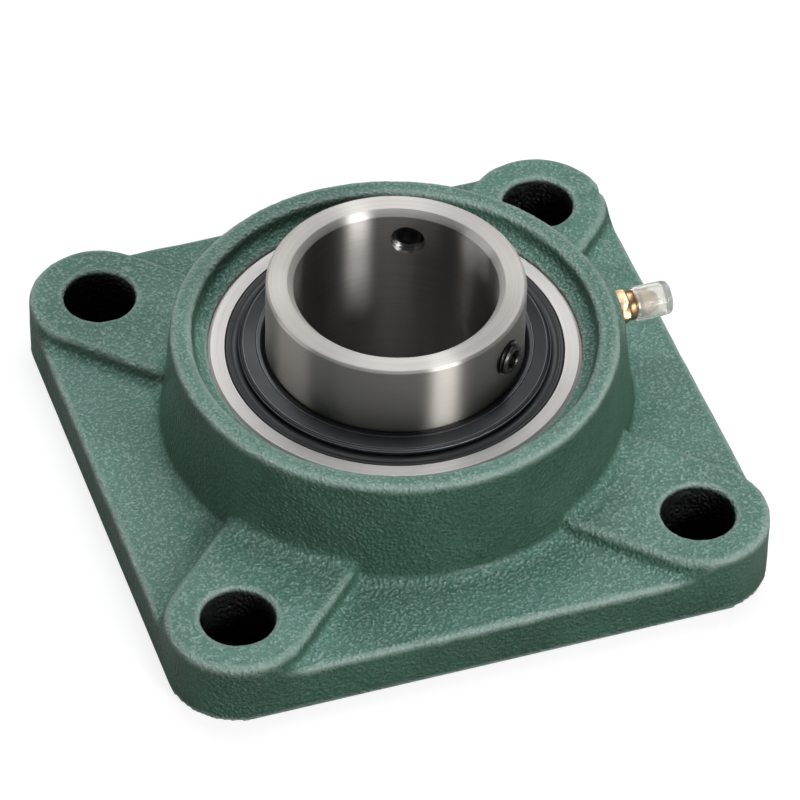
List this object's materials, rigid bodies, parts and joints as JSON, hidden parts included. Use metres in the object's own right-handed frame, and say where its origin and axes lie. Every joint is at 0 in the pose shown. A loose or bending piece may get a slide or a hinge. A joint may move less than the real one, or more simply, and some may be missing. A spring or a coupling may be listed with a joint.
{
  "type": "four-bolt flange bearing",
  "caption": "Square flange-mounted ball bearing unit: a cast housing with corner bolt holes, a tilting sealed insert with a wide inner ring held by set screws, and a capped grease nipple.",
  "frame": {"origin": "centre of the machined mounting face, on the shaft axis", "axes": "+Z along the shaft axis from the mounting face to the nose, +X towards the grease nipple, +Y along the flange's side"},
  "size_m": [0.137, 0.137, 0.0522],
  "materials": {
    "green_casting": "sand-cast grey iron under semi-gloss green enamel",
    "ring_steel": "ground bearing steel",
    "inner_ring_steel": "turned and satin-ground bearing steel",
    "ball_steel": "polished",
    "cage_steel": "pressed sheet",
    "rivet_steel": "plain",
    "shield_steel": "pressed sheet",
    "seal_rubber": "moulded satin black",
    "slinger_black": "blue-black satin",
    "screw_black": "black oxide",
    "nipple_gold": "bright yellow plating",
    "spring_steel": "drawn wire",
    "cap_plastic": "translucent natural polyethylene"
  },
  "bodies": {
    "housing": {"housing": "green_casting", "nipple_body": "nipple_gold", "nipple_spring": "spring_steel"},
    "outer_ring": {"outer_ring": "ring_steel", "front_shield": "shield_steel", "front_seal_lip": "seal_rubber", "rear_shield": "shield_steel", "rear_seal_lip": "seal_rubber"},
    "inner_ring": {"inner_ring": "inner_ring_steel", "front_slinger": "slinger_black", "rear_slinger": "slinger_black"},
    "cage": {"cage_front": "cage_steel", "cage_rear": "cage_steel", "cage_rivets": "rivet_steel"},
    "ball_1": {"ball_1": "ball_steel"},
    "ball_2": {"ball_2": "ball_steel"},
    "ball_3": {"ball_3": "ball_steel"},
    "ball_4": {"ball_4": "ball_steel"},
    "ball_5": {"ball_5": "ball_steel"},
    "ball_6": {"ball_6": "ball_steel"},
    "ball_7": {"ball_7": "ball_steel"},
    "ball_8": {"ball_8": "ball_steel"},
    "ball_9": {"ball_9": "ball_steel"},
    "set_screw_a": {"set_screw_a": "screw_black"},
    "set_screw_b": {"set_screw_b": "screw_black"},
    "check_ball": {"nipple_ball": "ball_steel"},
    "dust_cap": {"nipple_cap": "cap_plastic"}
  },
  "joints": [
    {"name": "insert_tilt", "type": "hinge", "parent": "housing", "child": "outer_ring", "pos_m": [0, 0, 0.022], "axis": [0, 1, 0], "range_deg": [-3, 3]},
    {"name": "inner_ring_spin", "type": "hinge", "parent": "outer_ring", "child": "inner_ring", "pos_m": [0, 0, 0.022], "axis": [0, 0, 1], "continuous": true},
    {"name": "cage_spin", "type": "hinge", "parent": "outer_ring", "child": "cage", "pos_m": [0, 0, 0.022], "axis": [0, 0, 1], "continuous": true},
    {"name": "ball_1_roll", "type": "hinge", "parent": "cage", "child": "ball_1", "pos_m": [0.0325, 0, 0.022], "axis": [0, 0, 1], "continuous": true},
    {"name": "ball_2_roll", "type": "hinge", "parent": "cage", "child": "ball_2", "pos_m": [0.0249, 0.02089, 0.022], "axis": [0, 0, 1], "continuous": true},
    {"name": "ball_3_roll", "type": "hinge", "parent": "cage", "child": "ball_3", "pos_m": [0.00564, 0.03201, 0.022], "axis": [0, 0, 1], "continuous": true},
    {"name": "ball_4_roll", "type": "hinge", "parent": "cage", "child": "ball_4", "pos_m": [-0.01625, 0.02815, 0.022], "axis": [0, 0, 1], "continuous": true},
    {"name": "ball_5_roll", "type": "hinge", "parent": "cage", "child": "ball_5", "pos_m": [-0.03054, 0.01112, 0.022], "axis": [0, 0, 1], "continuous": true},
    {"name": "ball_6_roll", "type": "hinge", "parent": "cage", "child": "ball_6", "pos_m": [-0.03054, -0.01112, 0.022], "axis": [0, 0, 1], "continuous": true},
    {"name": "ball_7_roll", "type": "hinge", "parent": "cage", "child": "ball_7", "pos_m": [-0.01625, -0.02815, 0.022], "axis": [0, 0, 1], "continuous": true},
    {"name": "ball_8_roll", "type": "hinge", "parent": "cage", "child": "ball_8", "pos_m": [0.00564, -0.03201, 0.022], "axis": [0, 0, 1], "continuous": true},
    {"name": "ball_9_roll", "type": "hinge", "parent": "cage", "child": "ball_9", "pos_m": [0.0249, -0.02089, 0.022], "axis": [0, 0, 1], "continuous": true},
    {"name": "set_screw_a_advance", "type": "slide", "parent": "inner_ring", "child": "set_screw_a", "axis": [0.4226, 0.9063, 0], "range_m": [-0.0015, 0.0025]},
    {"name": "set_screw_b_advance", "type": "slide", "parent": "inner_ring", "child": "set_screw_b", "axis": [0.6428, -0.766, 0], "range_m": [-0.0015, 0.0025]},
    {"name": "check_ball_lift", "type": "slide", "parent": "housing", "child": "check_ball", "axis": [-1, 0, 0], "range_m": [0, 0.0015], "stiffness_N_per_m": 300, "deforming": ["nipple_spring"]},
    {"name": "dust_cap_pull", "type": "slide", "parent": "housing", "child": "dust_cap", "axis": [1, 0, 0], "range_m": [0, 0.008]}
  ],
  "couplings": [
    {"joint": "cage_spin", "follows": "inner_ring_spin", "ratio": 0.40231},
    {"joint": "ball_1_roll", "follows": "inner_ring_spin", "ratio": -2.4614},
    {"joint": "ball_2_roll", "follows": "inner_ring_spin", "ratio": -2.4614},
    {"joint": "ball_3_roll", "follows": "inner_ring_spin", "ratio": -2.4614},
    {"joint": "ball_4_roll", "follows": "inner_ring_spin", "ratio": -2.4614},
    {"joint": "ball_5_roll", "follows": "inner_ring_spin", "ratio": -2.4614},
    {"joint": "ball_6_roll", "follows": "inner_ring_spin", "ratio": -2.4614},
    {"joint": "ball_7_roll", "follows": "inner_ring_spin", "ratio": -2.4614},
    {"joint": "ball_8_roll", "follows": "inner_ring_spin", "ratio": -2.4614},
    {"joint": "ball_9_roll", "follows": "inner_ring_spin", "ratio": -2.4614}
  ]
}
